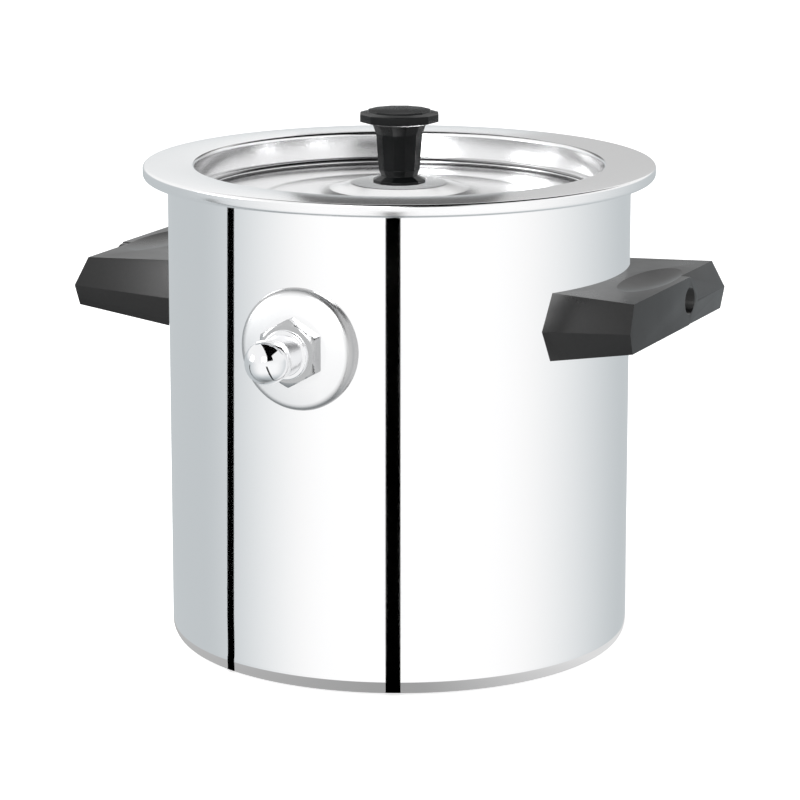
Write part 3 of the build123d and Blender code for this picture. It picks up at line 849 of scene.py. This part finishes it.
def studio_card(name, build, level):
    """A card of the studio, black or grey, which only mirrored light meets."""
    card = mesh_object(name, build)
    material, tree, glow, output = emissive(name)
    glow.inputs["Strength"].default_value = level
    tree.links.new(glow.outputs[0], output.inputs["Surface"])
    card.data.materials.append(material)
    for ray in ("camera", "diffuse", "shadow", "transmission", "volume_scatter"):
        setattr(card, f"visible_{ray}", False)
    return tree, glow


def make_floor_strip(name, columns):
    """A black strip on the floor that the shell mirrors as an upright stripe between two columns."""
    build = bmesh.new()
    depth = Vector((0, 0, -STRIP_DEPTH * MM))
    rows, lowest = 12, 70  # rows up the wall; the last tilt of the corner that is followed, in degrees
    wall = [(STRIP_TOP + (shell_corner - STRIP_TOP) * k / rows, 0.0) for k in range(rows)]
    corner = [(shell_corner * (1 - sin(radians(tilt))), radians(tilt)) for tilt in range(0, lowest + 1, 5)]
    pairs = [
        [build.verts.new(floor_seen(column, height, tilt) + depth) for column in columns]
        for height, tilt in wall + corner
    ]
    for lower, upper in zip(pairs, pairs[1:]):
        build.faces.new((lower[0], lower[1], upper[1], upper[0]))
    studio_card(name, build, 0.0)


def make_floor_shadow_ring():
    """Painted contact shadow: a grey ring round the foot, lighter to both sides, mirrored by the base corner.
    """
    inner, outer = SHADOW_RING_RADII
    build = bmesh.new()
    rings = [ring_of(build, about_z, radius, -RING_DEPTH, 128) for radius in (inner, outer)]
    skin(build, rings)
    tree, glow = studio_card("floor_shadow_ring", build, 1.0)
    side = tree.nodes.new("ShaderNodeVectorMath")
    side.operation = "DOT_PRODUCT"
    side.inputs[1].default_value = RIGHTWARD
    tree.links.new(tree.nodes.new("ShaderNodeTexCoord").outputs["Object"], side.inputs[0])
    ramp = tree.nodes.new("ShaderNodeValToRGB")
    while len(ramp.color_ramp.elements) < len(SHADOW_RING_GREYS):
        ramp.color_ramp.elements.new(0.5)
    for element, (place, grey) in zip(ramp.color_ramp.elements, SHADOW_RING_GREYS):
        element.position = place
        element.color = (grey, grey, grey, 1)
    spread = tree.nodes.new("ShaderNodeMapRange")
    spread.inputs["From Min"].default_value = -outer * MM
    spread.inputs["From Max"].default_value = outer * MM
    tree.links.new(side.outputs["Value"], spread.inputs["Value"])
    tree.links.new(spread.outputs["Result"], ramp.inputs["Fac"])
    tree.links.new(ramp.outputs["Color"], glow.inputs["Color"])


def make_card(name, corners, level=0.0):
    """A flat card; its corners are (to the right, towards the camera, up), in metres."""
    build = bmesh.new()
    places = [RIGHTWARD * x + CAMERAWARD * y + Vector((0, 0, z)) for x, y, z in corners]
    build.faces.new([build.verts.new(place) for place in places])
    studio_card(name, build, level)


def make_lamp(name, location, size, power, mirrored=False):
    """A large soft lamp aimed at the middle of the vessel, seen in reflections or not."""
    data = bpy.data.lights.new(name, "AREA")
    data.shape = "SQUARE"
    data.size = size
    data.energy = power
    item = bpy.data.objects.new(name, data)
    bpy.context.scene.collection.objects.link(item)
    item.location = location
    aim = Vector((0, 0, 0.1)) - Vector(location)
    item.rotation_euler = aim.to_track_quat("-Z", "Y").to_euler()
    item.visible_glossy = mirrored
    item.visible_camera = False


# ================================================================ assembly
dress_cad_nodes()
stand_for(make_outer_shell(), "outer_shell", "boiler", polished_steel)
stand_for(make_inner_vessel(), "inner_vessel", "boiler", vessel_steel)
stand_for(make_lid(), "lid", "lid", lid_steel)
stand_for(make_knob(), "knob", "lid", black_bakelite)
stand_for(make_escutcheon(), "escutcheon", "boiler", satin_chrome)
stand_for(make_lock_nut(), "lock_nut", "boiler", nut_chrome)
stand_for(make_whistle_body(), "whistle_body", "whistle", chrome)
stand_for(make_whistle_cap(), "whistle_cap", "whistle", chrome)
for side_name in ("left", "right"):
    stand_for(make_handle(side_name), f"handle_{side_name}", "boiler", handle_bakelite)

make_camera()
make_world()
make_floor()
make_floor_strip("strip_front", FRONT_STRIP)
make_floor_strip("strip_left", LEFT_STRIP)
# A grey ring, seen only in reflections, paints the contact shadow on the floor round the foot.
make_floor_shadow_ring()
# A black card overhead, and a black one that hangs from its front edge, stand for the dark gap
# between two bright areas that the whistle's nose and the lid mirror.
gap_left, gap_right, ceiling, gap_foot = (0.06, 2.07), (0.89, 1.47), 1.7, 0.72
front_edge = [(*gap_left, ceiling), (*gap_right, ceiling)]
make_card("gap_above", front_edge + [(1.9, -1.7, ceiling), (-0.84, -1.7, ceiling)])
make_card("gap_front", front_edge + [(*gap_right, gap_foot), (*gap_left, gap_foot)])
# Two small grey cards behind the vessels shade the front and the right of the rim.
half, away, low, high = 0.041, -0.2, 0.2, 0.28
make_card("rim_front", [(-half, away, low), (half, away, low), (half, away, high), (-half, away, high)], 0.14)
away, low, high = -0.25, 0.165, 0.27
make_card("rim_right", [(0.08, away, low), (0.2, away, low), (0.2, away, high), (-0.01, away, high)], 0.6)
# Two lamps stand where the handles' faces mirror them; the third only adds soft light from above.
make_lamp("key", (0.29, -1.96, 1.1), 0.8, 15, mirrored=True)
make_lamp("side", (-1.82, -1.07, 0.74), 0.8, 8, mirrored=True)
make_lamp("top", (-0.3, -0.6, 2.2), 1.4, 14)
bpy.context.scene.view_settings.view_transform = "Standard"
